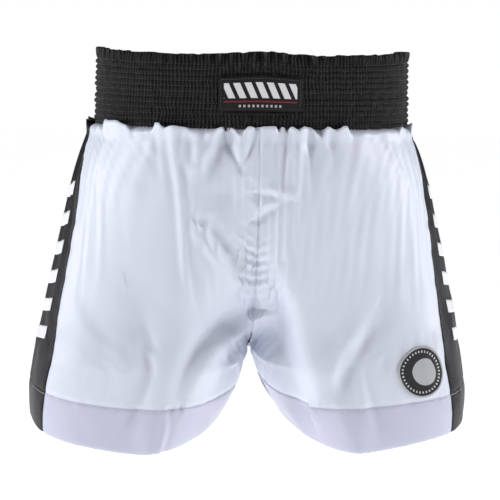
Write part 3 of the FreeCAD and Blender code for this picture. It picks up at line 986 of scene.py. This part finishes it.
elastic = ring_piece("waistband_elastic_woven", elastic_walk, elastic_sections, elastic_finish.material)
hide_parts("waistband_elastic")
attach(elastic, "seat")

# Shirring: twelve rows of black chain stitch, each lying in its groove round the band.

for name, z in zip(row_names, row_heights):
    path = band_point(walk, z, cover_lift(along, z) - 0.0009)
    path = np.concatenate([path, path[:1]])
    outwards = np.concatenate([walk[2], walk[2][:1]])
    row = make_piece(
        name + "_thread",
        *stitch_run(path, outwards, length=0.0026, pitch=0.0035, width=0.0006),
        black_thread,
    )
    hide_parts(name)
    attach(row, "seat")

# Waist seam: inside, the raw edges of band and panels are overlocked together and pressed up.

WAIST_SEAM_COLUMNS = 720
seam_low, seam_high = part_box("waist_seam_overlock")
seam_walk = band_walk(WAIST_SEAM_COLUMNS)
seam_heights = np.linspace(seam_high.z, seam_low.z, 5)
loop_swell = 0.0006 + 0.0004 * np.sin(2 * np.pi * seam_walk[0] / 0.0046)
seam_sections = [band_point(seam_walk, z, np.full(WAIST_SEAM_COLUMNS, -0.0052)) for z in seam_heights]
seam_sections += [band_point(seam_walk, z, -0.0056 - loop_swell) for z in seam_heights[::-1]]
seam_name = "waist_seam_overlocking"
waist_seam = ring_piece(seam_name, seam_walk, seam_sections, overlock_finish.material, swapped=True)
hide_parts("waist_seam_overlock")
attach(waist_seam, "seat")

# Front label: a stiff woven rectangle, near black, sewn flat over the shirring at the front centre. It
# carries plain slanted bars, a thin red line and a row of small blocks.

LABEL_THICKNESS = 0.0008
LABEL_LIFT = 0.0020
LABEL_COLUMNS = 61
LABEL_ROWS = 25
PRINT_HALF_WIDTH = 0.0345


def on_front(across, z, lift):
    """Points on the smooth front of the band, by their distance from the front centre."""
    order = np.argsort(along)
    nearest = np.interp(across, along[order], np.arange(BAND_COLUMNS)[order])
    i = np.floor(nearest).astype(int)
    u = (nearest - i)[:, None]
    place = walk[1][i] * (1 - u) + walk[1][i + 1] * u
    out = walk[2][i] * (1 - u) + walk[2][i + 1] * u
    return band_point((across, place, out), z, np.broadcast_to(lift, across.shape))


def label_height(across, z):
    """How far the inside of the label stands from the smooth front, slightly uneven along it."""
    return LABEL_LIFT + 0.0004 * waviness(41, across / 0.02, z / 0.012)


label_across = np.linspace(-label_width / 2, label_width / 2, LABEL_COLUMNS)
label_rows = np.linspace(label_high.z, label_low.z, LABEL_ROWS)
label_sheets = []
for above in (LABEL_THICKNESS, 0.0):
    lifts = [label_height(label_across, z) + above for z in label_rows]
    label_sheets.append(np.stack([on_front(label_across, z, w) for z, w in zip(label_rows, lifts)], 1))
label_ups = label_rows - label_rows.mean()
label_grid = np.stack(np.broadcast_arrays(label_across[:, None], label_ups[None, :]), -1)

label_finish = Finish("label_weave")
across, up, _ = label_finish.cloth_place().parts()


def band_mask(value, low, high):
    return (value > low) * (value < high)


def repeat(value, pitch):
    """Where a value is within its repeat, from 0 to 1."""
    return (value / pitch).fraction()


slanted = repeat(across + up * 0.45 + 1.0, 0.0105)
bars = band_mask(slanted, 0.2, 0.82) * band_mask(up, -0.004, 0.0105)
bars = bars * band_mask(across, -PRINT_HALF_WIDTH, PRINT_HALF_WIDTH)
red_line = band_mask(up, -0.0078, -0.0066) * band_mask(across, -PRINT_HALF_WIDTH, PRINT_HALF_WIDTH)
small_blocks = band_mask(repeat(across + 1.0, 0.0042), 0.25, 0.75) * band_mask(up, -0.0125, -0.0102)
small_blocks = small_blocks * band_mask(across, -0.021, 0.021)
label_weft = up.wave(0.0006) + across.wave(0.0006)
ground = label_finish.colour_mix(label_weft * 0.25 + 0.5, (0.004, 0.004, 0.005), (0.009, 0.009, 0.011))
with_line = label_finish.colour_mix(red_line, ground, (0.22, 0.02, 0.025))
with_bars = label_finish.colour_mix(bars, with_line, (0.74, 0.74, 0.76))
label_finish.set({
    "Base Color": label_finish.colour_mix(small_blocks, with_bars, (0.5, 0.42, 0.42)),
    "Roughness": 0.55 + label_weft * 0.05,
    "Normal": label_finish.bump(label_weft + bars * 2.0 + red_line * 2.0, 0.5, 0.00012),
    "Specular IOR Level": 0.2,
})
label = sheet_piece("front_label_woven", *label_sheets, label_finish.material, False, label_grid)
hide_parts("front_label")
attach(label, "seat")

# Label stitching: one line of black thread round the label, just inside its edge.

STITCH_INSET = 0.0022
half_label = label_width / 2 - STITCH_INSET
top_stitch, foot_stitch = label_high.z - STITCH_INSET, label_low.z + STITCH_INSET
sides = (
    (np.linspace(-half_label, half_label, 50), np.full(50, top_stitch)),
    (np.full(20, half_label), np.linspace(top_stitch, foot_stitch, 20)),
    (np.linspace(half_label, -half_label, 50), np.full(50, foot_stitch)),
    (np.full(20, -half_label), np.linspace(foot_stitch, top_stitch, 20)),
)
round_label = []
for run_across, run_up in sides:
    for x, z in zip(run_across, run_up):
        lift = label_height(x, z) + LABEL_THICKNESS
        round_label.append(on_front(np.array([x]), z, lift)[0])
round_label = np.array(round_label)
facing = np.tile([0.0, -1.0, 0.0], (len(round_label), 1))
label_thread = make_piece(
    "front_label_thread",
    *stitch_run(round_label, facing, length=0.0024, pitch=0.003, width=0.0005),
    black_thread,
)
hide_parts("front_label_stitching")
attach(label_thread, "seat")

# Side blocks: six chevrons of thin white film pressed on each black side panel, one above the other.

CHEVRON_FALL = 0.009
CHEVRON_WIDTH = 0.0128
CHEVRON_TURN = 0.062
FILM_THICKNESS = 0.0003

film_finish = Finish("white_film")
film_cloud = film_finish.noise(film_finish.place(), 60.0)
film_finish.set({
    "Base Color": film_finish.colour_mix(film_cloud, (0.76, 0.77, 0.82), (0.84, 0.85, 0.89)),
    "Roughness": 0.42 + film_cloud * 0.1,
    "Normal": film_finish.bump(film_cloud, 0.2, 0.0003),
})
for half, side in enumerate(("left", "right")):
    for node in sorted(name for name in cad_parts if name.startswith(side + "_side_block")):
        top = WAIST_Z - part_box(node)[1].z
        arm = np.linspace(-1.0, 1.0, 41)[:, None]
        body = np.linspace(0.0, 1.0, 7)[None, :]
        drop = top + CHEVRON_FALL * (1.0 - np.abs(arm)) + CHEVRON_WIDTH * body
        turn = np.broadcast_to(0.5 + CHEVRON_TURN * arm, drop.shape)
        outer, _ = on_cloth(half, turn, drop, 0.0002 + FILM_THICKNESS)
        inner, _ = on_cloth(half, turn, drop, 0.0001)
        name = node.replace("block", "chevron")
        block = sheet_piece(name, outer, inner, film_finish.material, side == "right")
        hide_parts(node)
        blend_into_leg(block)

# Round badge: a woven patch low on the front of the wearer's left leg, with a pale rim, a dark ring with
# plain ticks round it and a pale grey middle.

BADGE_RADIUS = 0.0255
BADGE_TURN = 0.374
BADGE_DROP = 0.2265
BADGE_POINTS = 72
badge_column = int(np.argmin(np.abs(turns - BADGE_TURN)))
badge_row = int(np.argmin(np.abs(drops - BADGE_DROP)))
turn_pitch = np.linalg.norm(points[0, badge_column + 4, badge_row] - points[0, badge_column, badge_row])
turn_per_metre = (turns[badge_column + 4] - turns[badge_column]) / turn_pitch
radii = np.concatenate([np.linspace(0.0, 0.88, 12), [0.9, 0.93, 0.96, 0.985, 1.0]]) * BADGE_RADIUS
rise = np.concatenate([np.full(12, 0.0008), [0.0011, 0.0014, 0.0014, 0.0011, 0.0006]])
angles = np.arange(BADGE_POINTS) * 2 * np.pi / BADGE_POINTS
patch_across = np.append(0.0, radii[1:, None] * np.sin(angles))
patch_down = np.append(0.0, -radii[1:, None] * np.cos(angles))
turn = BADGE_TURN + patch_across * turn_per_metre
drop = BADGE_DROP + patch_down
lift = np.append(rise[0], np.repeat(rise[1:], BADGE_POINTS))
outer, outwards = on_cloth(0, turn, drop)
inner = outer + outwards * 0.0001
outer = outer + outwards * lift[:, None]
rings = len(radii) - 1
faces = []
for k in range(BADGE_POINTS):
    n = (k + 1) % BADGE_POINTS
    faces.append([0, 1 + n, 1 + k])
    for r in range(rings - 1):
        a = 1 + BADGE_POINTS * r
        b = a + BADGE_POINTS
        faces.append([a + k, a + n, b + n, b + k])
count = len(outer)
faces += [[count + index for index in reversed(face)] for face in faces]
edge = 1 + BADGE_POINTS * (rings - 1)
for k in range(BADGE_POINTS):
    n = (k + 1) % BADGE_POINTS
    faces.append([edge + k, edge + n, count + edge + n, count + edge + k])
badge_map = np.stack([patch_across, patch_down], -1)

badge_finish = Finish("badge_weave")
bx, by, _ = badge_finish.cloth_place().parts()
out_from_middle = (bx * bx + by * by) ** 0.5 / BADGE_RADIUS
bearing = by.arctangent(bx)
ticks = band_mask(repeat(bearing + 7.0, 2 * math.pi / 36), 0.3, 0.7) * band_mask(out_from_middle, 0.74, 0.82)
dark_ring = band_mask(out_from_middle, 0.62, 0.91)
crescent = (((bx - 0.004) * (bx - 0.004) + by * by) ** 0.5 / BADGE_RADIUS > 0.52) * (out_from_middle < 0.63)
badge_weft = by.wave(0.0007)
pale = badge_finish.colour_mix(badge_weft * 0.5 + 0.5, (0.36, 0.37, 0.39), (0.52, 0.53, 0.55))
darkened = badge_finish.colour_mix(dark_ring + crescent, pale, (0.02, 0.02, 0.024))
badge_finish.set({
    "Base Color": badge_finish.colour_mix(ticks, darkened, (0.6, 0.6, 0.62)),
    "Roughness": 0.5 + badge_weft * 0.06,
    "Normal": badge_finish.bump(badge_weft + ticks * 2.0, 0.5, 0.00012),
    "Specular IOR Level": 0.25,
})
badge = make_piece(
    "left_leg_badge_woven",
    np.concatenate([outer, inner]),
    faces,
    badge_finish.material,
    np.tile(badge_map, (2, 1)),
)
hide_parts("left_leg_badge")
blend_into_leg(badge)

# The six panels: the cut that the drape starts from is the worn outline, widened for the gathers, and each
# panel takes its own columns of it.

cut = worn.copy()
cut[..., :2] *= widening(drops / FULL_DROP)[:, None]
for (side, panel), piece in panel_pieces.items():
    first, last = PANELS[panel]
